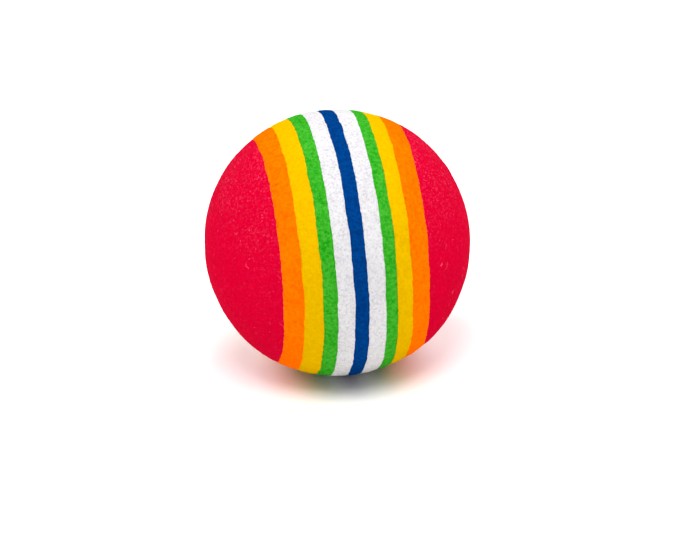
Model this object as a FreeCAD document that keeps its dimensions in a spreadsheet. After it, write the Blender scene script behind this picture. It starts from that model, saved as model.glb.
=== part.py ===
# A striped foam juggling ball: flat foam sheets and two end blocks, bonded face to face in a stack
# and ground round together.
#
# Millimetres, with the origin at the middle of the ball, +X along the stack from the left cap to
# the right cap, and +Z up. Each foam piece is the slice of the ball between two flat faces square
# to X, and a film of contact glue fills the gap between two foam pieces.

import FreeCAD, Part
import Sketcher

import os
from dataclasses import dataclass

# The driving dimensions: name, size in millimetres, and what it measures.
SIZES = (
    ("ball_diameter", 42.0, "outside diameter, as ground"),
    ("left_cap_depth", 9.35, "left end block, from its pole to its bonded face"),
    ("orange_left", 2.85, "thickness of the sheet"),
    ("yellow_left", 2.75, "thickness of the sheet"),
    ("green_left", 2.10, "thickness of the sheet"),
    ("white_left", 2.55, "thickness of the sheet"),
    ("blue_middle", 2.15, "thickness of the sheet"),
    ("white_right", 2.70, "thickness of the sheet"),
    ("green_right", 1.85, "thickness of the sheet"),
    ("yellow_right", 2.45, "thickness of the sheet"),
    ("orange_right", 2.95, "thickness of the sheet"),
    ("glue_film", 0.06, "thickness of every film of glue"),
)

# What lies between the two caps, from left to right: label of the piece, name of its thickness.
LAYERS = (
    ("glue_film_red_orange_left", "glue_film"),
    ("orange_disc_left", "orange_left"),
    ("glue_film_orange_yellow_left", "glue_film"),
    ("yellow_disc_left", "yellow_left"),
    ("glue_film_yellow_green_left", "glue_film"),
    ("green_disc_left", "green_left"),
    ("glue_film_green_white_left", "glue_film"),
    ("white_disc_left", "white_left"),
    ("glue_film_white_blue_left", "glue_film"),
    ("blue_disc_middle", "blue_middle"),
    ("glue_film_blue_white_right", "glue_film"),
    ("white_disc_right", "white_right"),
    ("glue_film_white_green_right", "glue_film"),
    ("green_disc_right", "green_right"),
    ("glue_film_green_yellow_right", "glue_film"),
    ("yellow_disc_right", "yellow_right"),
    ("glue_film_yellow_orange_right", "glue_film"),
    ("orange_disc_right", "orange_right"),
    ("glue_film_orange_red_right", "glue_film"),
)

RADIUS = "Sizes.ball_diameter / 2"
VOLUME_TOLERANCE = 0.001

# What a sketch calls the ends and the centre of an edge, its own origin, and its own X axis.
START, END, CENTRE = 1, 2, 3
SKETCH_ORIGIN = (-1, 1)
SKETCH_X_AXIS = -1


@dataclass(frozen=True)
class Face:
    """A flat face square to the stack: the formula that places it along X, and its place."""

    formula: str
    x: float

    def beyond(self, sheet, thickness):
        """The next face to the right, past a layer of the named thickness."""
        return Face(f"{self.formula} + Sizes.{thickness}", self.x + sheet.get(thickness))


def make_sheet(doc):
    """The spreadsheet of driving dimensions, one row each."""
    sheet = doc.addObject("Spreadsheet::Sheet", "Sizes")
    for row, (name, size, meaning) in enumerate(SIZES, start=1):
        sheet.set(f"A{row}", name)
        sheet.set(f"B{row}", str(size))
        sheet.setAlias(f"B{row}", name)
        sheet.set(f"C{row}", meaning)
    doc.recompute()
    return sheet


def start_body(doc, label):
    """An empty body, and a sketch on its own XY plane, whose X runs along the stack."""
    body = doc.addObject("PartDesign::Body", label)
    body.Label = label
    body.Placement = FreeCAD.Placement()
    sketch = body.newObject("Sketcher::SketchObject", label + "_profile")
    planes = {feature.Role: feature for feature in body.Origin.OriginFeatures}
    sketch.AttachmentSupport = [(planes["XY_Plane"], "")]
    sketch.MapMode = "FlatFace"
    return body, sketch


def outline_point(radius, x):
    """The point of the ball's outline at x, on the upper side of the axis."""
    return FreeCAD.Vector(x, (radius**2 - x**2) ** 0.5, 0)


def upper_arc(radius, left, right):
    """The arc of the ball's outline from x at its right end round to x at its left end."""
    circle = Part.Circle(FreeCAD.Vector(), FreeCAD.Vector(0, 0, 1), radius)
    first = circle.parameter(outline_point(radius, right))
    last = circle.parameter(outline_point(radius, left))
    return Part.ArcOfCircle(circle, first, last)


def constrain(sketch, axis_edge, flat_edges, joints):
    """Joins the edges end to end, lays one along the axis and stands the flat faces square to it."""
    for joint in joints:
        sketch.addConstraint(Sketcher.Constraint("Coincident", *joint))
    sketch.addConstraint(Sketcher.Constraint("PointOnObject", axis_edge, START, SKETCH_X_AXIS))
    sketch.addConstraint(Sketcher.Constraint("Horizontal", axis_edge))
    for edge in flat_edges:
        sketch.addConstraint(Sketcher.Constraint("Vertical", edge))


def bind(sketch, constraint, name, formula):
    """Adds a sizing constraint whose value follows a formula on the spreadsheet."""
    index = sketch.addConstraint(constraint)
    sketch.renameConstraint(index, name)
    sketch.setExpression("Constraints." + name, formula)


def revolve(doc, body, sketch):
    """Turns the profile once round the axis of the stack, the sketch's own X axis."""
    turn = body.newObject("PartDesign::Revolution", body.Label + "_turn")
    turn.Profile = sketch
    turn.ReferenceAxis = (sketch, ["H_Axis"])
    turn.Angle = 360.0
    doc.recompute()
    return body


def make_slice(doc, label, radius, left, right):
    """One layer: the slice of the ball between its left and right faces."""
    body, sketch = start_body(doc, label)
    left_foot = FreeCAD.Vector(left.x, 0, 0)
    right_foot = FreeCAD.Vector(right.x, 0, 0)
    along_axis = sketch.addGeometry(Part.LineSegment(left_foot, right_foot))
    right_flat = sketch.addGeometry(Part.LineSegment(right_foot, outline_point(radius, right.x)))
    rim = sketch.addGeometry(upper_arc(radius, left.x, right.x))
    left_flat = sketch.addGeometry(Part.LineSegment(outline_point(radius, left.x), left_foot))
    joints = (
        (along_axis, END, right_flat, START),
        (right_flat, END, rim, START),
        (rim, END, left_flat, START),
        (left_flat, END, along_axis, START),
        (rim, CENTRE, *SKETCH_ORIGIN),
    )
    constrain(sketch, along_axis, (left_flat, right_flat), joints)
    bind(sketch, Sketcher.Constraint("Radius", rim, radius), "ball_radius", RADIUS)
    for name, end, face in (("left_face", START, left), ("right_face", END, right)):
        place = Sketcher.Constraint("DistanceX", *SKETCH_ORIGIN, along_axis, end, face.x)
        bind(sketch, place, name, face.formula)
    return revolve(doc, body, sketch)


def make_cap(doc, label, radius, face, pole_x):
    """One end block: the part of the ball from its bonded face out to its pole."""
    body, sketch = start_body(doc, label)
    foot = FreeCAD.Vector(face.x, 0, 0)
    along_axis = sketch.addGeometry(Part.LineSegment(foot, FreeCAD.Vector(pole_x, 0, 0)))
    dome = sketch.addGeometry(upper_arc(radius, *sorted((face.x, pole_x))))
    flat = sketch.addGeometry(Part.LineSegment(outline_point(radius, face.x), foot))
    at_pole, at_rim = (START, END) if pole_x > face.x else (END, START)
    joints = (
        (along_axis, END, dome, at_pole),
        (dome, at_rim, flat, START),
        (flat, END, along_axis, START),
        (dome, CENTRE, *SKETCH_ORIGIN),
    )
    constrain(sketch, along_axis, (flat,), joints)
    bind(sketch, Sketcher.Constraint("Radius", dome, radius), "ball_radius", RADIUS)
    place = Sketcher.Constraint("DistanceX", *SKETCH_ORIGIN, along_axis, START, face.x)
    bind(sketch, place, "bonded_face", face.formula)
    return revolve(doc, body, sketch)


def make_ball(doc):
    """Every piece of the ball, from the left cap through the layers to the right cap."""
    sheet = make_sheet(doc)
    radius = sheet.ball_diameter / 2
    face = Face(f"Sizes.left_cap_depth - {RADIUS}", sheet.left_cap_depth - radius)
    bodies = [make_cap(doc, "red_cap_left", radius, face, -radius)]
    for label, thickness in LAYERS:
        next_face = face.beyond(sheet, thickness)
        bodies.append(make_slice(doc, label, radius, face, next_face))
        face = next_face
    bodies.append(make_cap(doc, "red_cap_right", radius, face, radius))
    return bodies


def check(doc, bodies):
    """Stops on a failed object, a bad shape, or pieces that don't add up to the whole ball."""
    failed = [item.Name for item in doc.Objects if {"Invalid", "Error"} & set(item.State)]
    if failed:
        raise SystemExit(f"these objects failed: {failed}")
    for body in bodies:
        shape = body.Shape
        if shape.isNull() or not shape.isValid() or len(shape.Solids) != 1:
            raise SystemExit(f"{body.Label} isn't one valid solid")
    whole = Part.makeSphere(doc.Sizes.ball_diameter / 2).Volume
    pieces = sum(body.Shape.Volume for body in bodies)
    if abs(pieces - whole) > VOLUME_TOLERANCE * whole:
        raise SystemExit(f"the pieces hold {pieces:.1f} mm3 of a ball of {whole:.1f} mm3")


def main():
    """Builds the ball, checks it and writes one STEP file for each piece."""
    doc = FreeCAD.newDocument("striped_foam_ball")
    bodies = make_ball(doc)
    doc.recompute()
    check(doc, bodies)
    os.makedirs("parts", exist_ok=True)
    for body in bodies:
        body.Shape.exportStep(os.path.join("parts", body.Label + ".step"))
        box = body.Shape.BoundBox
        print(f"{body.Label}: x {box.XMin:.2f} to {box.XMax:.2f}, {body.Shape.Volume:.0f} mm3")


main()
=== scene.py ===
import logging
import math
from abc import ABC, abstractmethod
from dataclasses import dataclass, field
from enum import Enum

import bmesh
import bpy
from mathutils import Matrix, Vector, noise


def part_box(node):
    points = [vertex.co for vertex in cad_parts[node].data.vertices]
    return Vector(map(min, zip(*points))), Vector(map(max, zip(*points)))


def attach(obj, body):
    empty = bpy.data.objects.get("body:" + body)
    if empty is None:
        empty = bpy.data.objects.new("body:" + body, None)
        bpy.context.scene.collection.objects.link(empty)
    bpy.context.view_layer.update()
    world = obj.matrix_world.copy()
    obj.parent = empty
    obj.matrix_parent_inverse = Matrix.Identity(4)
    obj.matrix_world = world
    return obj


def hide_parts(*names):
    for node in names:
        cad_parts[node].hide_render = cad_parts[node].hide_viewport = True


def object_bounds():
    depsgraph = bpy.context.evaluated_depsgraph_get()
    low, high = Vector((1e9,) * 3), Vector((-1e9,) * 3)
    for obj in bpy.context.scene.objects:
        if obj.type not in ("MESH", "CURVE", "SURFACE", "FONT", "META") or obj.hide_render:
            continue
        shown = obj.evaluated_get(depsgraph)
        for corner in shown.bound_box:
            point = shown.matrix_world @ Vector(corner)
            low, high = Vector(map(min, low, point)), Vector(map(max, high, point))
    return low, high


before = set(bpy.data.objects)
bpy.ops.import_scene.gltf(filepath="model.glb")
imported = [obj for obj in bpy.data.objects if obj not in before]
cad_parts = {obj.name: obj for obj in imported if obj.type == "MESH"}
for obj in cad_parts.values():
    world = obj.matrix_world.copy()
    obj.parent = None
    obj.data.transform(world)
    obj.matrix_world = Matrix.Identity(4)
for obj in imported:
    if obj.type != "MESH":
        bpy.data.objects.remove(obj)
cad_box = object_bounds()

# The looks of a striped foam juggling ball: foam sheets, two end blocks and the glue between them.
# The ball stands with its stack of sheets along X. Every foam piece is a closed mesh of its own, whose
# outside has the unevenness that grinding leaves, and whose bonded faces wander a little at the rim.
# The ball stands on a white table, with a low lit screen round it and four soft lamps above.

LOG = logging.getLogger("juggling_ball")

MM = 0.001
ROOT = "root"

# One turn round the stack is this many faces. It is four times the faces along a side of the square
# grid that an end block is bent from, so that the rims of all the pieces have matching corners.
RIM_STEPS = 1152
BLOCK_GRID = RIM_STEPS // 4

# A profile is turned through one wedge of the circle, and the wedge is then copied round.
WEDGES = 32

# Vertices nearer than WELD are one vertex, and an edge that bends more than EDGE_ANGLE stays sharp.
WELD = 0.001 * MM
EDGE_ANGLE = math.radians(55)

Colour = tuple[float, float, float, float]
WHITE_LIGHT: Colour = (1.0, 1.0, 1.0, 1.0)


# ---------------------------------------------------------------------------------------------------
# Shader arithmetic
# ---------------------------------------------------------------------------------------------------


def linear(red: int, green: int, blue: int) -> Colour:
    """The shader's colour for a display colour.

    Args:
        red: Red, from 0 to 255.
        green: Green, from 0 to 255.
        blue: Blue, from 0 to 255.

    Returns:
        The colour in linear light, with an alpha of 1.
    """

    def channel(value: int) -> float:
        """One channel in linear light."""
        share = value / 255
        return share / 12.92 if share <= 0.04045 else ((share + 0.055) / 1.055) ** 2.4

    return channel(red), channel(green), channel(blue), 1.0


class Wire:
    """A number that runs through a material's nodes, on which Python arithmetic can be written."""

    def __init__(self, graph: "Graph", socket: bpy.types.NodeSocket) -> None:
        """Wraps an output socket of one of the graph's nodes."""
        self.graph = graph
        self.socket = socket

    def _math(self, operation: str, *values: "Wire | float") -> "Wire":
        """The result of a Math node on some values."""
        sockets = dict(enumerate(values))
        return self.graph.node("ShaderNodeMath", {"operation": operation}, sockets).wire("Value")

    def __add__(self, other: "Wire | float") -> "Wire":
        """This plus other."""
        return self._math("ADD", self, other)

    def __radd__(self, other: float) -> "Wire":
        """Other plus this."""
        return self._math("ADD", other, self)

    def __sub__(self, other: "Wire | float") -> "Wire":
        """This less other."""
        return self._math("SUBTRACT", self, other)

    def __rsub__(self, other: float) -> "Wire":
        """Other less this."""
        return self._math("SUBTRACT", other, self)

    def __mul__(self, other: "Wire | float") -> "Wire":
        """This times other."""
        return self._math("MULTIPLY", self, other)

    def __rmul__(self, other: float) -> "Wire":
        """Other times this."""
        return self._math("MULTIPLY", other, self)

    def __abs__(self) -> "Wire":
        """This without its sign."""
        return self._math("ABSOLUTE", self)

    def ramp(self, start: float, end: float) -> "Wire":
        """A smooth step from 0 where this is start to 1 where it is end.

        Args:
            start: The value that gives 0.
            end: The value that gives 1. It may be lower than start.

        Returns:
            A number from 0 to 1.
        """
        low, high = min(start, end), max(start, end)
        settings = {"interpolation_type": "SMOOTHSTEP", "clamp": True}
        sockets = {"Value": self, "From Min": low, "From Max": high}
        step = self.graph.node("ShaderNodeMapRange", settings, sockets).wire("Result")
        return step if start < end else 1 - step

    def raised(self, floor: float) -> "Wire":
        """This share, squeezed so that it runs from floor to 1 instead of from 0 to 1."""
        return floor + (1 - floor) * self


class Made:
    """A node that a graph has made, with its outputs at hand."""

    def __init__(self, graph: "Graph", node: bpy.types.Node) -> None:
        """Wraps a node of the graph."""
        self.graph = graph
        self.node = node

    def wire(self, output: str) -> Wire:
        """The named output, for arithmetic or for another node's socket."""
        return Wire(self.graph, self.node.outputs[output])


class Graph:
    """The nodes of one material."""

    def __init__(self, material: bpy.types.Material) -> None:
        """Empties the material's node tree and starts it afresh.

        Args:
            material: The material, which is new.
        """
        material.use_nodes = True
        self.tree = material.node_tree
        self.tree.nodes.clear()

    def node(
        self,
        kind: str,
        settings: dict[str, object] | None = None,
        sockets: dict[str | int, object] | None = None,
    ) -> Made:
        """Adds a node.

        Args:
            kind: The node's type.
            settings: The node's own properties, which are set first.
            sockets: The value or the wire for each input, by the input's name or number.

        Returns:
            The node, with its outputs at hand.
        """
        made = self.tree.nodes.new(kind)
        for name, value in (settings or {}).items():
            setattr(made, name, value)
        for name, value in (sockets or {}).items():
            if isinstance(value, Wire):
                self.tree.links.new(value.socket, made.inputs[name])
            else:
                made.inputs[name].default_value = value
        return Made(self, made)

    def place_in_mm(self) -> Wire:
        """Looks up the place on the object.

        Returns:
            The place, in millimetres.
        """
        place = self.node("ShaderNodeTexCoord").wire("Object")
        settings = {"operation": "SCALE"}
        return self.node("ShaderNodeVectorMath", settings, {0: place, "Scale": 1 / MM}).wire("Vector")

    def stretched(self, place: Wire, scale: tuple[float, float, float], turn: float) -> Wire:
        """Turns and scales the place, for a pattern that has a direction.

        Args:
            place: The place to change.
            scale: The scale along X, Y and Z, after the turn. A larger one makes the pattern finer.
            turn: The turn about Y.

        Returns:
            The place to look the pattern up at.
        """
        sockets = {"Vector": place, "Rotation": (0.0, turn, 0.0)}
        turned = self.node("ShaderNodeMapping", {"vector_type": "POINT"}, sockets).wire("Vector")
        sockets = {"Vector": turned, "Scale": scale}
        return self.node("ShaderNodeMapping", {"vector_type": "POINT"}, sockets).wire("Vector")

    def grain(self, place: Wire, size: float, detail: float = 2.0, roughness: float = 0.5) -> Wire:
        """Soft noise from 0 to 1, whose largest features measure about size.

        Args:
            place: Where to look it up.
            size: The features' size, in the units of place.
            detail: How many finer layers there are.
            roughness: How strong each finer layer is.

        Returns:
            The noise.
        """
        sockets = {"Vector": place, "Scale": 1 / size, "Detail": detail, "Roughness": roughness}
        return self.node("ShaderNodeTexNoise", {"normalize": True}, sockets).wire("Fac")

    def cells(self, place: Wire, size: float) -> tuple[Wire, Wire]:
        """Foam cells.

        Args:
            place: Where to look them up.
            size: How far apart the cells are, in the units of place.

        Returns:
            The distance from the middle of the nearest cell, in cells, and a number from 0 to 1 that
            each cell has of its own.
        """
        sockets = {"Vector": place, "Scale": 1 / size}
        made = self.node("ShaderNodeTexVoronoi", {"feature": "F1"}, sockets)
        own = self.node("ShaderNodeSeparateColor", {}, {"Color": made.wire("Color")}).wire("Red")
        return made.wire("Distance"), own

    def mix(self, share: Wire, first: Wire | Colour, second: Wire | Colour) -> Wire:
        """Mixes two colours.

        Args:
            share: How much of the second there is. It is held between 0 and 1.
            first: The colour where share is 0.
            second: The colour where share is 1.

        Returns:
            The mixed colour.
        """
        settings = {"data_type": "RGBA", "blend_type": "MIX", "clamp_factor": True}
        made = self.node("ShaderNodeMix", settings, {0: share, 6: first, 7: second})
        return Wire(self, made.node.outputs[2])

    def finish(self, shader: Made) -> None:
        """Gives the surface this shader."""
        output = self.node("ShaderNodeOutputMaterial")
        self.tree.links.new(shader.node.outputs[0], output.node.inputs["Surface"])


# ---------------------------------------------------------------------------------------------------
# Finishes
# ---------------------------------------------------------------------------------------------------


# Sizes in the foam's surface, in millimetres, but FINE_CELL is a share of the cells' size.
FINE_CELL = 0.6
TEAR = 1.0
TORN_AREA = 1.8
RUBBED_AREA = 5.5
FLECK = 0.48
CLOUD = 0.36
THREAD_LOOP = 2.6
THREAD_AREA = 1.7
CLOUDY_AREA = 4.5
RELIEF_DEPTH = 0.05

# For each mark, the noise or height where there is none of it and where it is at its fullest. The
# figures for CELL_OPENS are lowered by the share of the cells that are open.
CELL_BOWL = (0.72, 0.12)
CELL_OPENS = (0.95, 1.25)
FINE_CELL_BOWL = (0.7, 0.15)
FINE_CELL_OPENS = (0.35, 0.8)
TEAR_SHOWS = (0.54, 0.74)
TORN_AREA_SHOWS = (0.40, 0.62)
RUBBED_AREA_SHOWS = (0.40, 0.62)
# The next figures are painted light from above: heights in millimetres along Z over which the flecks grow
# denser.
TOP_LIGHT_HEIGHT = (1.0, 15.0)
FLECK_DOT = (0.42, 0.14)
FLECK_SHOWS = (0.60, 0.92)
CLOUD_SHOWS = (0.46, 0.72)
THREAD_WIDTH = (0.012, 0.003)
THREAD_AREA_SHOWS = (0.64, 0.70)
MOTTLE_SHOWS = (0.36, 0.66)
CLOUDY_AREA_SHOWS = (0.35, 0.65)

# How strong each mark is beside the others, and the least of it that is left between its patches.
FINE_CELL_DEPTH = 0.35
TORN_LEAST = 0.35
# The share of pale flecks left low on the ball, where the painted light from above fades.
TOP_LIGHT_LEAST_BELOW = 0.18
RUBBED_LEAST_BETWEEN = 0.5
FLECK_DOTS = 0.9
FLECK_CLOUDS = 0.45
CLOUDY_AREA_DEPTH = 0.12
HOLLOW_RELIEF = 0.75
MOTTLE_RELIEF = 0.5

# The grinder's tears are finer across than along X, and lean.
TEAR_SCALE = (1.0, 3.4, 3.4)
TEAR_LEAN = math.radians(24)

# A torn thread follows the line along which a noise has this value, its middle one.
THREAD_LEVEL = 0.5


@dataclass(frozen=True)
class FoamFinish:
    """Ground closed-cell foam of one colour: cut cells, torn walls and the marks of the grinder.

    The body colour darkens towards a second colour: as painted shade in the cut cells, and as darker
    tone in mottle and streaks. Foam that has a scuffed colour also has flecks and threads of it, and
    its flecks are denser towards the top as painted light from above. Sizes are in millimetres.
    """

    name: str
    slot: str
    body: Colour
    # The colour of the painted shade in the cut cells, towards which mottle and streaks also darken.
    shaded_hollow: Colour
    scuffed: Colour | None = None
    cell_size: float = 0.26
    cell_share: float = 0.6
    # How strongly painted shade darkens the cut cells.
    cell_shade: float = 0.5
    mottle: float = 0.35
    mottle_size: float = 0.62
    streaks: float = 0.0
    flecks: float = 0.0
    threads: float = 0.0
    roughness: float = 0.86
    mottle_roughness: float = 0.1
    sheen: float = 0.0
    sheen_roughness: float = 0.3
    relief: float = 0.35

    def cut_cells(self, graph: Graph, place: Wire) -> Wire:
        """Makes the cells that the grinder cut open, in two sizes.

        Args:
            graph: The material's nodes.
            place: The place on the object, in millimetres.

        Returns:
            How deep the surface is in a cut cell, from 0 on a cell wall to 1 in an open cell. The
            material sinks the cells in the relief and also paints them darker as shade.
        """
        distance, own = graph.cells(place, self.cell_size)
        fine_distance, fine_own = graph.cells(place, self.cell_size * FINE_CELL)
        closed, opened = (figure - self.cell_share for figure in CELL_OPENS)
        large = distance.ramp(*CELL_BOWL) * own.ramp(closed, opened)
        small = fine_distance.ramp(*FINE_CELL_BOWL) * fine_own.ramp(*FINE_CELL_OPENS)
        return large + FINE_CELL_DEPTH * small * (1 - large)

    def grinding_streaks(self, graph: Graph, place: Wire) -> Wire:
        """Makes the short dark tears that the grinder leaves across the sheet.

        Args:
            graph: The material's nodes.
            place: The place on the object, in millimetres.

        Returns:
            How torn the surface is, from 0 to 1.
        """
        along = graph.stretched(place, TEAR_SCALE, TEAR_LEAN)
        tears = graph.grain(along, TEAR, detail=1.0).ramp(*TEAR_SHOWS)
        where = graph.grain(place, TORN_AREA, detail=1.0).ramp(*TORN_AREA_SHOWS)
        return tears * where.raised(TORN_LEAST)

    def rubbed_and_top_lit(self, graph: Graph, place: Wire) -> Wire:
        """Finds where the foam shows pale: in patches where hands have worn the ball, and more on its
        upper side, which is painted light from above.

        Args:
            graph: The material's nodes.
            place: The place on the object, in millimetres.

        Returns:
            How pale the surface is from wear and from painted light from above, from 0 to 1.
        """
        height = graph.node("ShaderNodeSeparateXYZ", {}, {"Vector": place}).wire("Z")
        patches = graph.grain(place, RUBBED_AREA).ramp(*RUBBED_AREA_SHOWS)
        # Painted light from above: the flecks grow denser towards the top of the ball.
        above = height.ramp(*TOP_LIGHT_HEIGHT).raised(TOP_LIGHT_LEAST_BELOW)
        return above * patches.raised(RUBBED_LEAST_BETWEEN)

    def pale_flecks(self, graph: Graph, place: Wire) -> Wire:
        """Makes the pale dots and clouds of scuffed foam, denser towards the top as painted light from
        above.

        Args:
            graph: The material's nodes.
            place: The place on the object, in millimetres.

        Returns:
            How pale the surface is, from 0 to 1.
        """
        distance, own = graph.cells(place, FLECK)
        dots = distance.ramp(*FLECK_DOT) * own.ramp(*FLECK_SHOWS)
        clouds = graph.grain(place, CLOUD, roughness=0.6).ramp(*CLOUD_SHOWS)
        return (FLECK_DOTS * dots + FLECK_CLOUDS * clouds) * self.rubbed_and_top_lit(graph, place)

    def torn_threads(self, graph: Graph, place: Wire) -> Wire:
        """Makes a few thin curved threads of torn foam.

        Args:
            graph: The material's nodes.
            place: The place on the object, in millimetres.

        Returns:
            How pale the surface is, from 0 to 1.
        """
        off_line = abs(graph.grain(place, THREAD_LOOP, detail=1.0) - THREAD_LEVEL)
        line = off_line.ramp(*THREAD_WIDTH)
        where = graph.grain(place, THREAD_AREA, detail=1.0).ramp(*THREAD_AREA_SHOWS)
        return line * where

    def material(self) -> bpy.types.Material:
        """Makes the finish.

        Returns:
            The new material.
        """
        material = bpy.data.materials.new(self.name)
        graph = Graph(material)
        place = graph.place_in_mm()
        # The cut cells, sunk in the relief and also painted darker as shade in them.
        shaded_hollow = self.cut_cells(graph, place)
        mottle = graph.grain(place, self.mottle_size, detail=3.0, roughness=0.62)
        area = graph.grain(place, CLOUDY_AREA)
        # How far the body colour goes towards the shade colour: painted shade in the cut cells, and
        # darker random tone in mottle, cloudy areas and streaks.
        dark = self.cell_shade * shaded_hollow + self.mottle * mottle.ramp(*MOTTLE_SHOWS)
        dark = dark + CLOUDY_AREA_DEPTH * area.ramp(*CLOUDY_AREA_SHOWS)
        if self.streaks:
            dark = dark + self.streaks * self.grinding_streaks(graph, place)
        colour = graph.mix(dark, self.body, self.shaded_hollow)
        if self.scuffed:
            # Pale flecks and threads of scuffed foam; the flecks are denser towards the top as painted
            # light from above.
            pale = self.flecks * self.pale_flecks(graph, place)
            if self.threads:
                pale = pale + self.threads * self.torn_threads(graph, place)
            colour = graph.mix(pale, colour, self.scuffed)
        height = 1 - HOLLOW_RELIEF * shaded_hollow + MOTTLE_RELIEF * mottle
        sockets = {"Strength": self.relief, "Distance": RELIEF_DEPTH * MM, "Height": height}
        bump = graph.node("ShaderNodeBump", {}, sockets)
        sockets = {
            "Base Color": colour,
            "Roughness": self.roughness + self.mottle_roughness * mottle,
            "Specular IOR Level": 0.0,
            "Sheen Weight": self.sheen,
            "Sheen Roughness": self.sheen_roughness,
            "Normal": bump.wire("Normal"),
        }
        graph.finish(graph.node("ShaderNodeBsdfPrincipled", {}, sockets))
        return material


@dataclass(frozen=True)
class GlueFinish:
    """Dried contact glue: amber, cloudy and slightly glossy. Sizes are in millimetres."""

    name: str = "dried_glue"
    slot: str = "glue"
    clear: Colour = linear(214, 182, 120)
    cloudy: Colour = linear(232, 214, 176)
    brush_mark: float = 1.2
    brush_scale: tuple[float, float, float] = (1.0, 0.4, 2.5)
    cloudy_shows: tuple[float, float] = (0.4, 0.62)
    string: float = 0.35
    roughness: float = 0.38
    brush_roughness: float = 0.3
    relief: float = 0.4
    relief_depth: float = 0.03

    def material(self) -> bpy.types.Material:
        """Makes the finish.

        Returns:
            The new material.
        """
        material = bpy.data.materials.new(self.name)
        graph = Graph(material)
        place = graph.place_in_mm()
        along = graph.stretched(place, self.brush_scale, 0.0)
        brushed = graph.grain(along, self.brush_mark, detail=3.0, roughness=0.6)
        strings = graph.grain(place, self.string)
        depth = self.relief_depth * MM
        sockets = {"Strength": self.relief, "Distance": depth, "Height": strings}
        bump = graph.node("ShaderNodeBump", {}, sockets)
        sockets = {
            "Base Color": graph.mix(brushed.ramp(*self.cloudy_shows), self.clear, self.cloudy),
            "Roughness": self.roughness + self.brush_roughness * brushed,
            "Normal": bump.wire("Normal"),
        }
        graph.finish(graph.node("ShaderNodeBsdfPrincipled", {}, sockets))
        return material


@dataclass(frozen=True)
class TableFinish:
    """A plain matte white table."""

    name: str = "white_table"
    colour: Colour = linear(251, 251, 251)
    roughness: float = 0.95

    def material(self) -> bpy.types.Material:
        """Makes the finish.

        Returns:
            The new material.
        """
        material = bpy.data.materials.new(self.name)
        graph = Graph(material)
        sockets = {
            "Base Color": self.colour,
            "Roughness": self.roughness,
            "Specular IOR Level": 0.0,
        }
        graph.finish(graph.node("ShaderNodeBsdfPrincipled", {}, sockets))
        return material


@dataclass(frozen=True)
class ScreenFinish:
    """A white screen that is lit from behind."""

    name: str = "lit_screen"
    glow: float = 1.05

    def material(self) -> bpy.types.Material:
        """Makes the finish.

        Returns:
            The new material.
        """
        material = bpy.data.materials.new(self.name)
        graph = Graph(material)
        sockets = {"Color": WHITE_LIGHT, "Strength": self.glow}
        graph.finish(graph.node("ShaderNodeEmission", {}, sockets))
        return material


# Each foam's second, darker colour is the painted shade in its cut cells.
class Foam(Enum):
    """The colours of foam in the ball."""

    RED = FoamFinish(
        name="red_foam",
        slot="foam_red",
        body=linear(194, 0, 43),
        shaded_hollow=linear(184, 0, 35),
        scuffed=linear(218, 80, 110),
        cell_shade=0.3,
        mottle=0.3,
        flecks=0.75,
        threads=0.5,
        sheen=0.008,
    )
    ORANGE = FoamFinish(
        name="orange_foam",
        slot="foam_orange",
        body=linear(248, 114, 0),
        shaded_hollow=linear(216, 73, 0),
        cell_shade=0.22,
        mottle=0.4,
        streaks=0.5,
    )
    YELLOW = FoamFinish(
        name="yellow_foam",
        slot="foam_yellow",
        body=linear(210, 166, 0),
        shaded_hollow=linear(192, 142, 0),
        cell_shade=0.3,
        mottle=0.35,
    )
    GREEN = FoamFinish(
        name="green_foam",
        slot="foam_green",
        body=linear(65, 161, 44),
        shaded_hollow=linear(8, 130, 4),
        scuffed=linear(110, 184, 86),
        cell_shade=0.5,
        mottle=0.6,
        streaks=0.2,
        flecks=0.2,
    )
    WHITE = FoamFinish(
        name="white_foam",
        slot="foam_white",
        body=linear(206, 205, 206),
        shaded_hollow=linear(164, 160, 168),
        cell_size=0.34,
        cell_shade=0.5,
        mottle=0.3,
        mottle_size=0.36,
    )
    BLUE = FoamFinish(
        name="blue_foam",
        slot="foam_blue",
        body=linear(0, 58, 124),
        shaded_hollow=linear(0, 36, 90),
        scuffed=linear(36, 84, 148),
        cell_shade=0.4,
        mottle=0.5,
        flecks=0.2,
    )

    @classmethod
    def of_node(cls, node: str) -> "Foam":
        """The foam whose colour a CAD node's name starts with."""
        return cls[node.split("_")[0].upper()]


GLUE = GlueFinish()


# ---------------------------------------------------------------------------------------------------
# Shape
# ---------------------------------------------------------------------------------------------------


def turn_about_stack(mesh: bmesh.types.BMesh) -> None:
    """Turns a profile once about the stack: one wedge first, and then copies of the wedge.

    Args:
        mesh: The piece so far, which is only the profile.
    """
    spindle = {"cent": (0, 0, 0), "axis": (1, 0, 0), "dvec": (0, 0, 0)}
    wedge = 2 * math.pi / WEDGES
    profile = mesh.verts[:] + mesh.edges[:]
    bmesh.ops.spin(mesh, geom=profile, angle=wedge, steps=RIM_STEPS // WEDGES, **spindle)
    whole = mesh.verts[:] + mesh.edges[:] + mesh.faces[:]
    rest = 2 * math.pi - wedge
    bmesh.ops.spin(mesh, geom=whole, angle=rest, steps=WEDGES - 1, use_duplicate=True, **spindle)
    bmesh.ops.remove_doubles(mesh, verts=mesh.verts, dist=WELD)


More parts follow.
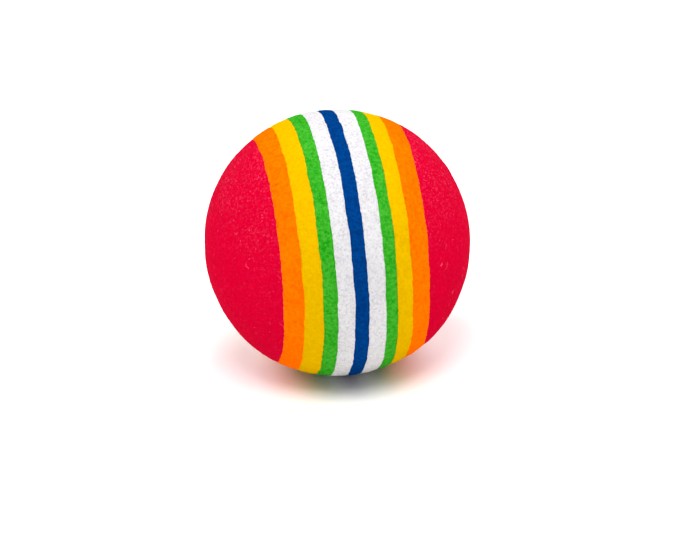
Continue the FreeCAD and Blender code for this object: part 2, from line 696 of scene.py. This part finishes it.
def close_rim(
    mesh: bmesh.types.BMesh, rim: list[bmesh.types.BMEdge], rings: list[tuple[float, float]]
) -> None:
    """Closes an open rim inwards, ring by ring, and its middle with a fan of triangles.

    Args:
        mesh: The piece so far.
        rim: The edges of the open rim.
        rings: Each ring's place along X and its distance from the axis of the stack.
    """
    edges = rim
    for x, across in rings:
        made = bmesh.ops.extrude_edge_only(mesh, edges=edges)["geom"]
        for vertex in (item for item in made if isinstance(item, bmesh.types.BMVert)):
            scale = across / math.hypot(vertex.co.y, vertex.co.z)
            vertex.co = (x, vertex.co.y * scale, vertex.co.z * scale)
        edges = [item for item in made if isinstance(item, bmesh.types.BMEdge)]
    filled = bmesh.ops.contextual_create(mesh, geom=edges)["faces"]
    bmesh.ops.poke(mesh, faces=filled)


def smooth(share: float) -> float:
    """A share held between 0 and 1, with a soft start and end."""
    share = max(0.0, min(1.0, share))
    return share * share * (3 - 2 * share)


@dataclass(frozen=True)
class Unevenness:
    """Noise of one size that displaces a surface. Lengths are in metres."""

    depth: float
    size: float
    seed: float = 0.0

    def at(self, point: Vector, seed: float = 0.0) -> float:
        """The displacement at a point, for the layer's own seed and a piece's seed."""
        start = self.seed + seed
        return self.depth * noise.noise(point / self.size + Vector((start, -start, 0.5 * start)))


@dataclass(frozen=True)
class GroundSurface:
    """How the ground outside differs from a true sphere, and how the bonded faces wander at the rim.

    Lengths are in metres. The out-of-round shape and the waves run over the whole ball, while the level
    and the grain are each piece's own. All of it fades out at the depth of the skin. The bonded faces
    have rings of vertices at the depths of lip, mid_skin and skin. The outside dips at a seam by a
    share of seam_dip, which is usual_dip more or less the noise in seam_dips.
    """

    radius: float
    out_of_round: Unevenness = Unevenness(0.19 * MM, 13 * MM, 321.37)
    waves: Unevenness = Unevenness(0.06 * MM, 2.8 * MM, 11.0)
    level: Unevenness = Unevenness(0.06 * MM, 4 * MM)
    grain: tuple[Unevenness, ...] = (
        Unevenness(0.035 * MM, 0.55 * MM),
        Unevenness(0.028 * MM, 0.29 * MM),
    )
    seam_dip: float = 0.10 * MM
    usual_dip: float = 0.5
    seam_dips: Unevenness = Unevenness(1.0, 6 * MM, 57.0)
    seam_reach: float = 0.75 * MM
    bond_wander: tuple[Unevenness, ...] = (
        Unevenness(0.13 * MM, 3.8 * MM, 20.0),
        Unevenness(0.075 * MM, 0.75 * MM, 31.0),
        Unevenness(0.05 * MM, 0.36 * MM, 47.0),
    )
    skin: float = 1.6 * MM
    mid_skin: float = 0.64 * MM
    lip: float = 0.12 * MM

    def shared_swell(self, point: Vector, seam: float) -> float:
        """How far the ground ball stands proud of the true sphere, apart from any one piece's level.

        Args:
            point: A point near the outside.
            seam: How far away the nearest bonded face is.

        Returns:
            The height, which is below 0 in a hollow.
        """
        outside = point.normalized() * self.radius
        dip = self.seam_dip * max(0.0, self.usual_dip + self.seam_dips.at(outside))
        swell = self.out_of_round.at(outside) + self.waves.at(outside)
        return swell - dip * smooth(1 - seam / self.seam_reach)

    def own_swell(self, point: Vector, seed: float) -> float:
        """How far one piece stands proud of the rest of the ball at a point, for the piece's seed."""
        outside = point.normalized() * self.radius
        return self.level.at(outside, seed) + sum(layer.at(outside, seed) for layer in self.grain)

    def wander(self, seam_x: float, point: Vector) -> float:
        """How far the faces on both sides of a seam are displaced along X at the rim.

        Args:
            seam_x: The middle of the seam.
            point: The point whose turn about X counts.

        Returns:
            The shift, which the two pieces and the glue between them share.
        """
        across = math.hypot(point.y, point.z)
        if across < self.lip:
            return 0.0
        rim = math.sqrt(self.radius**2 - seam_x**2) / across
        on_rim = Vector((seam_x, point.y * rim, point.z * rim))
        return sum(layer.at(on_rim) for layer in self.bond_wander)

    def depth_share(self, point: Vector) -> float:
        """1 at the outside, falling smoothly to 0 at the depth of the skin."""
        return smooth(1 - (self.radius - point.length) / self.skin)


@dataclass
class Layer:
    """One layer of the stack, which stands for the CAD node of the same name."""

    node: str
    surface: GroundSurface
    piece: bpy.types.Object | None = field(default=None, repr=False)

    def make_piece(self, mesh: bmesh.types.BMesh, ending: str) -> None:
        """Makes the mesh an object that rides on the ball in place of its node.

        Args:
            mesh: The finished shape, which is used up.
            ending: What the piece's name has after the node's name.
        """
        bmesh.ops.recalc_face_normals(mesh, faces=mesh.faces)
        data = bpy.data.meshes.new(self.node + ending)
        mesh.to_mesh(data)
        mesh.free()
        data.shade_smooth()
        data.set_sharp_from_angle(angle=EDGE_ANGLE)
        self.piece = bpy.data.objects.new(self.node + ending, data)
        bpy.context.scene.collection.objects.link(self.piece)
        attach(self.piece, ROOT)
        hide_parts(self.node)


@dataclass
class FoamPiece(Layer, ABC):
    """A foam piece between two places along X, ground on its outside.

    Its bonded faces nearly meet its neighbours' at the rim, over the edge of the glue film, and lie
    where the frame has them further in.
    """

    seed: float = 0.0
    left: float = field(init=False)
    right: float = field(init=False)
    film: float = 0.06 * MM
    hairline: float = 0.008 * MM

    def __post_init__(self) -> None:
        """Takes the piece's place along X from its CAD node."""
        low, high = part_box(self.node)
        self.left, self.right = low.x, high.x

    @abstractmethod
    def build(self) -> None:
        """Builds the piece."""

    @abstractmethod
    def seam_distance(self, x: float) -> float:
        """How far along X the nearest bonded face is."""

    @abstractmethod
    def face_shift(self, point: Vector) -> float:
        """How far along X the wandering of the bonded faces carries a point."""

    def rim_shift(self) -> float:
        """How far a face moves at the rim to hide the glue: from the film's face nearly to its middle."""
        return (self.film - self.hairline) / 2

    def close_face(
        self, mesh: bmesh.types.BMesh, rim: list[bmesh.types.BMEdge], face_x: float, side: int
    ) -> None:
        """Closes one bonded face from its rim inwards.

        Args:
            mesh: The piece so far.
            rim: The edges of the open rim.
            face_x: Where the face lies, further in than its lip.
            side: -1 for a face on the left, 1 for one on the right.
        """
        rim_x = face_x + side * self.rim_shift()
        across = math.sqrt(self.surface.radius**2 - rim_x**2)
        depths = (self.surface.lip, self.surface.mid_skin, self.surface.skin)
        close_rim(mesh, rim, [(face_x, across - depth) for depth in depths])

    def grind(self, mesh: bmesh.types.BMesh) -> None:
        """Moves every vertex to where bonding by hand and grinding leave it.

        Args:
            mesh: The closed piece, whose outside is a true sphere.
        """
        surface = self.surface
        for vertex in mesh.verts:
            point = vertex.co.copy()
            share = surface.depth_share(point)
            if share == 0.0:
                continue
            seam = self.seam_distance(point.x)
            shift = self.face_shift(point)
            if shift:
                point = self.slide(point, share * shift)
            swell = surface.shared_swell(point, seam) + surface.own_swell(point, self.seed)
            vertex.co = point + point.normalized() * (share * swell)

    def slide(self, point: Vector, shift: float) -> Vector:
        """Moves a point along X, at the same distance from the middle of the ball.

        Args:
            point: The point.
            shift: How far to move it.

        Returns:
            The moved point.
        """
        across = math.hypot(point.y, point.z)
        x = point.x + shift
        scale = math.sqrt(max(0.0, point.length_squared - x * x)) / across
        return Vector((x, point.y * scale, point.z * scale))

    def make_foam(self, mesh: bmesh.types.BMesh) -> None:
        """Makes the mesh the finished piece, which is solid foam all through."""
        self.make_piece(mesh, "_foam")

    def dress(self, materials: dict[Foam, bpy.types.Material]) -> None:
        """Gives the piece its foam's finish.

        Args:
            materials: Every foam's material.
        """
        foam = Foam.of_node(self.node)
        self.piece.data.materials.append(materials[foam])


@dataclass
class FoamSheet(FoamPiece):
    """A flat sheet, which shows as a band right round the ball."""

    fewest_steps: int = 4

    def build(self) -> None:
        """Turns the band's arc about the stack, closes both faces and grinds the outside."""
        mesh = bmesh.new()
        shift, radius = self.rim_shift(), self.surface.radius
        start = math.asin((self.left - shift) / radius)
        angle = math.asin((self.right + shift) / radius) - start
        vertex = mesh.verts.new((radius * math.sin(start), 0.0, radius * math.cos(start)))
        steps = max(self.fewest_steps, round(angle * RIM_STEPS / (2 * math.pi)))
        axle = {"cent": (0, 0, 0), "axis": (0, 1, 0), "dvec": (0, 0, 0)}
        bmesh.ops.spin(mesh, geom=[vertex], angle=angle, steps=steps, **axle)
        turn_about_stack(mesh)
        middle = (self.left + self.right) / 2
        rims = [edge for edge in mesh.edges if edge.is_boundary]
        left_rim = [edge for edge in rims if edge.verts[0].co.x < middle]
        right_rim = [edge for edge in rims if edge.verts[0].co.x > middle]
        self.close_face(mesh, left_rim, self.left, -1)
        self.close_face(mesh, right_rim, self.right, 1)
        self.grind(mesh)
        self.make_foam(mesh)

    def seam_distance(self, x: float) -> float:
        """How far along X the nearer of the two bonded faces is."""
        return max(0.0, min(x - self.left, self.right - x))

    def face_shift(self, point: Vector) -> float:
        """How far along X the wandering of the two bonded faces carries a point between them.

        Args:
            point: The point, before it is moved.

        Returns:
            The shift, which goes evenly from that of one face to that of the other.
        """
        share = max(0.0, min(1.0, (point.x - self.left) / (self.right - self.left)))
        left = self.surface.wander(self.left - self.film / 2, point)
        right = self.surface.wander(self.right + self.film / 2, point)
        return (1 - share) * left + share * right


@dataclass
class EndBlock(FoamPiece):
    """A block at one end of the stack, which shows as a domed cap.

    The reach is how far from the bonded face its wandering is felt.
    """

    reach: float = 3 * MM

    def build(self) -> None:
        """Bends a square grid into the dome, closes its one bonded face and grinds the outside."""
        side, face_x = self.side(), self.face_x()
        mesh = bmesh.new()
        bmesh.ops.create_grid(mesh, x_segments=BLOCK_GRID, y_segments=BLOCK_GRID, size=1.0)
        rim_angle = math.acos(side * (face_x - side * self.rim_shift()) / self.surface.radius)
        for vertex in mesh.verts:
            vertex.co = self.on_dome(vertex.co.x, vertex.co.y, rim_angle)
        rim = [edge for edge in mesh.edges if edge.is_boundary]
        self.close_face(mesh, rim, face_x, -side)
        self.grind(mesh)
        self.make_foam(mesh)

    def side(self) -> int:
        """-1 for the block on the left and 1 for the one on the right."""
        return 1 if self.right > -self.left else -1

    def face_x(self) -> float:
        """Where the block's one bonded face lies."""
        return self.left if self.side() > 0 else self.right

    def on_dome(self, u: float, v: float, rim_angle: float) -> Vector:
        """The place on the dome of a place on the grid.

        The square's concentric outlines become circles about the pole, and its sides the rim.

        Args:
            u: Place across the grid, from -1 to 1.
            v: Place up the grid, from -1 to 1.
            rim_angle: The angle at the ball's middle, from the pole to the rim.

        Returns:
            The place, in the frame.
        """
        side, radius = self.side(), self.surface.radius
        outline = max(abs(u), abs(v))
        tilt = outline * rim_angle
        if outline < WELD:
            turn = 0.0
        elif abs(u) >= abs(v):
            turn = math.pi / 4 * v / u + (math.pi if u < 0 else 0.0)
        else:
            turn = math.pi / 2 - math.pi / 4 * u / v + (math.pi if v < 0 else 0.0)
        across = radius * math.sin(tilt)
        return Vector((side * radius * math.cos(tilt), -across * math.sin(turn), across * math.cos(turn)))

    def seam_distance(self, x: float) -> float:
        """How far along X the bonded face is."""
        return abs(x - self.face_x())

    def face_shift(self, point: Vector) -> float:
        """How far along X the wandering of the bonded face carries a point near it.

        Args:
            point: The point, before it is moved.

        Returns:
            The shift, which fades out at the reach.
        """
        share = smooth(1 - self.seam_distance(point.x) / self.reach)
        seam_x = self.face_x() - self.side() * self.film / 2
        return share * self.surface.wander(seam_x, point) if share else 0.0


@dataclass
class GlueFilm(Layer):
    """A film of dried glue between two foam pieces, whose edge lies under their lips."""

    cover: float = 0.1 * MM

    def build(self) -> None:
        """Makes the film as a thin disc that follows the foam's faces at its rim."""
        low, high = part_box(self.node)
        surface = self.surface
        middle = (low.x + high.x) / 2
        across = math.sqrt(surface.radius**2 - middle**2) - surface.lip - self.cover
        mesh = bmesh.new()
        mesh.edges.new([mesh.verts.new((x, 0.0, across)) for x in (low.x, high.x)])
        turn_about_stack(mesh)
        rims = [edge for edge in mesh.edges if edge.is_boundary]
        for x in (low.x, high.x):
            rim = [edge for edge in rims if abs(edge.verts[0].co.x - x) < WELD]
            depths = (surface.mid_skin, surface.skin)
            close_rim(mesh, rim, [(x, across - depth) for depth in depths])
        for vertex in mesh.verts:
            share = surface.depth_share(vertex.co)
            if share:
                swell = surface.shared_swell(vertex.co, 0.0)
                shift = Vector((surface.wander(middle, vertex.co), 0.0, 0.0))
                vertex.co += share * (shift + vertex.co.normalized() * swell)
        self.make_piece(mesh, "_dried")

    def dress(self, material: bpy.types.Material) -> None:
        """Gives the film its finish."""
        self.piece.data.materials.append(material)


@dataclass
class Ball:
    """The whole ball, as its foam pieces and its glue films in order along the stack."""

    radius: float
    first_seed: float = 5.3
    seed_step: float = 1.7
    foams: list[FoamPiece] = field(default_factory=list)
    films: list[GlueFilm] = field(default_factory=list)

    def build(self) -> None:
        """Builds every piece from the frame's nodes."""
        surface = GroundSurface(self.radius)
        names = sorted(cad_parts, key=lambda name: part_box(name)[0].x)
        for number, name in enumerate(names):
            if name.startswith("glue_film"):
                film = GlueFilm(name, surface)
                film.build()
                self.films.append(film)
                LOG.info("%s: glue film", name)
                continue
            kind = EndBlock if "cap" in name else FoamSheet
            piece = kind(name, surface, seed=self.first_seed + self.seed_step * number)
            piece.build()
            self.foams.append(piece)
            LOG.info("%s: %s of %d faces", name, kind.__name__, len(piece.piece.data.polygons))

    def dress(self) -> None:
        """Makes each finish once and gives every piece its own."""
        materials = {foam: foam.value.material() for foam in Foam}
        glue = GLUE.material()
        for piece in self.foams:
            piece.dress(materials)
        for film in self.films:
            film.dress(glue)

    def lowest(self) -> float:
        """The height of the point that the ball rests on."""
        return min(vertex.co.z for foam in self.foams for vertex in foam.piece.data.vertices)


# ---------------------------------------------------------------------------------------------------
# Studio
# ---------------------------------------------------------------------------------------------------


def direction(azimuth: float, elevation: float) -> Vector:
    """The direction from the ball to a place round it.

    Args:
        azimuth: The angle round the ball in degrees, from the front towards the right.
        elevation: The angle above the level in degrees.

    Returns:
        The direction, of length 1.
    """
    turn, lift = math.radians(azimuth), math.radians(elevation)
    return Vector((math.sin(turn) * math.cos(lift), -math.cos(turn) * math.cos(lift), math.sin(lift)))


@dataclass(frozen=True)
class Softbox:
    """A large soft lamp that faces the ball. Angles are in degrees, lengths in metres, power in watts."""

    name: str
    azimuth: float
    elevation: float
    power: float
    distance: float = 1.0
    width: float = 0.65

    def hang(self) -> None:
        """Hangs the lamp and turns it to the middle of the ball."""
        light = bpy.data.lights.new(self.name, "AREA")
        light.shape = "DISK"
        light.size = self.width
        light.energy = self.power
        back = direction(self.azimuth, self.elevation)
        lamp = bpy.data.objects.new(self.name, light)
        lamp.location = back * self.distance
        lamp.rotation_euler = (-back).to_track_quat("-Z", "Y").to_euler()
        bpy.context.scene.collection.objects.link(lamp)


@dataclass(frozen=True)
class Studio:
    """A white table in an even surround, with a low screen round it, soft lamps and the camera.

    Lengths are in metres and angles in degrees, but camera_radii counts the ball's radii and
    camera_lens is in millimetres. The camera aims aim_right and aim_down from the ball's middle.
    """

    radius: float
    table_width: float = 8.0
    screen_radius: float = 1.0
    screen_height: float = 0.15
    screen_facets: int = 288
    surround: float = 0.42
    lamps: tuple[Softbox, ...] = (
        Softbox("front_softbox", azimuth=-10, elevation=58, power=5.0, width=0.45),
        Softbox("left_softbox", azimuth=-95, elevation=52, power=5.6),
        Softbox("right_softbox", azimuth=77, elevation=52, power=4.0),
        Softbox("rear_softbox", azimuth=120, elevation=60, power=2.8),
    )
    camera_azimuth: float = -9.2
    camera_elevation: float = 22.0
    camera_roll: float = 2.95
    camera_radii: float = 30.0
    camera_lens: float = 211.7
    camera_clip: tuple[float, float] = (0.05, 20.0)
    aim_right: float = 0.42 * MM
    aim_down: float = 5.67 * MM

    def build(self, table_height: float) -> None:
        """Sets up the table, the screen, the light and the camera.

        Args:
            table_height: Where the top of the table is along Z.
        """
        self.lay_table(table_height)
        self.stand_screen(table_height)
        self.light()
        self.set_camera()
        scene = bpy.context.scene
        scene.view_settings.view_transform = "Standard"
        scene.view_settings.look = "None"

    def lay_table(self, height: float) -> None:
        """Lays the table under the ball.

        Args:
            height: Where its top is along Z.
        """
        table = bmesh.new()
        bmesh.ops.create_grid(table, x_segments=1, y_segments=1, size=self.table_width / 2)
        bmesh.ops.translate(table, verts=table.verts, vec=(0.0, 0.0, height))
        self.keep("table", table, TableFinish().material())

    def stand_screen(self, height: float) -> None:
        """Stands the screen on the table.

        Args:
            height: Where the top of the table is along Z.
        """
        screen = bmesh.new()
        bmesh.ops.create_cone(
            screen,
            cap_ends=False,
            segments=self.screen_facets,
            radius1=self.screen_radius,
            radius2=self.screen_radius,
            depth=self.screen_height,
        )
        middle = height + self.screen_height / 2
        bmesh.ops.translate(screen, verts=screen.verts, vec=(0.0, 0.0, middle))
        self.keep("backdrop_screen", screen, ScreenFinish().material())

    def keep(self, name: str, mesh: bmesh.types.BMesh, material: bpy.types.Material) -> None:
        """Makes the mesh an object that belongs to the studio.

        Args:
            name: The object's name.
            mesh: The finished shape, which is used up.
            material: Its material.
        """
        data = bpy.data.meshes.new(name)
        mesh.to_mesh(data)
        mesh.free()
        data.materials.append(material)
        piece = bpy.data.objects.new(name, data)
        bpy.context.scene.collection.objects.link(piece)

    def light(self) -> None:
        """Sets the even surround and hangs the lamps."""
        world = bpy.data.worlds.new("surround")
        world.use_nodes = True
        background = world.node_tree.nodes["Background"]
        background.inputs["Color"].default_value = WHITE_LIGHT
        background.inputs["Strength"].default_value = self.surround
        bpy.context.scene.world = world
        for lamp in self.lamps:
            lamp.hang()

    def set_camera(self) -> None:
        """Stands the camera in front of the ball, a little to its left, above it and rolled."""
        back = direction(self.camera_azimuth, self.camera_elevation)
        level = direction(self.camera_azimuth + 90, 0.0)
        lean = Matrix.Rotation(-math.radians(self.camera_roll), 3, back)
        right = lean @ level
        up = back.cross(right)
        place = back * (self.camera_radii * self.radius)
        aim = right * self.aim_right - up * self.aim_down
        back = (place - aim).normalized()
        up = (up - back * up.dot(back)).normalized()
        right = up.cross(back)
        camera_data = bpy.data.cameras.new("camera")
        camera_data.lens = self.camera_lens
        camera_data.clip_start, camera_data.clip_end = self.camera_clip
        camera = bpy.data.objects.new("camera", camera_data)
        camera.matrix_world = Matrix.Translation(place) @ Matrix((right, up, back)).transposed().to_4x4()
        bpy.context.scene.collection.objects.link(camera)
        bpy.context.scene.camera = camera


def main() -> None:
    """Builds the ball and the studio."""
    logging.basicConfig(level=logging.INFO, format="%(name)s: %(message)s")
    low, high = cad_box
    ball = Ball(radius=(high.x - low.x) / 2)
    ball.build()
    ball.dress()
    table_height = ball.lowest()
    Studio(ball.radius).build(table_height)
    LOG.info("studio: table at %.3f mm", table_height / MM)


if __name__ == "__main__":
    main()
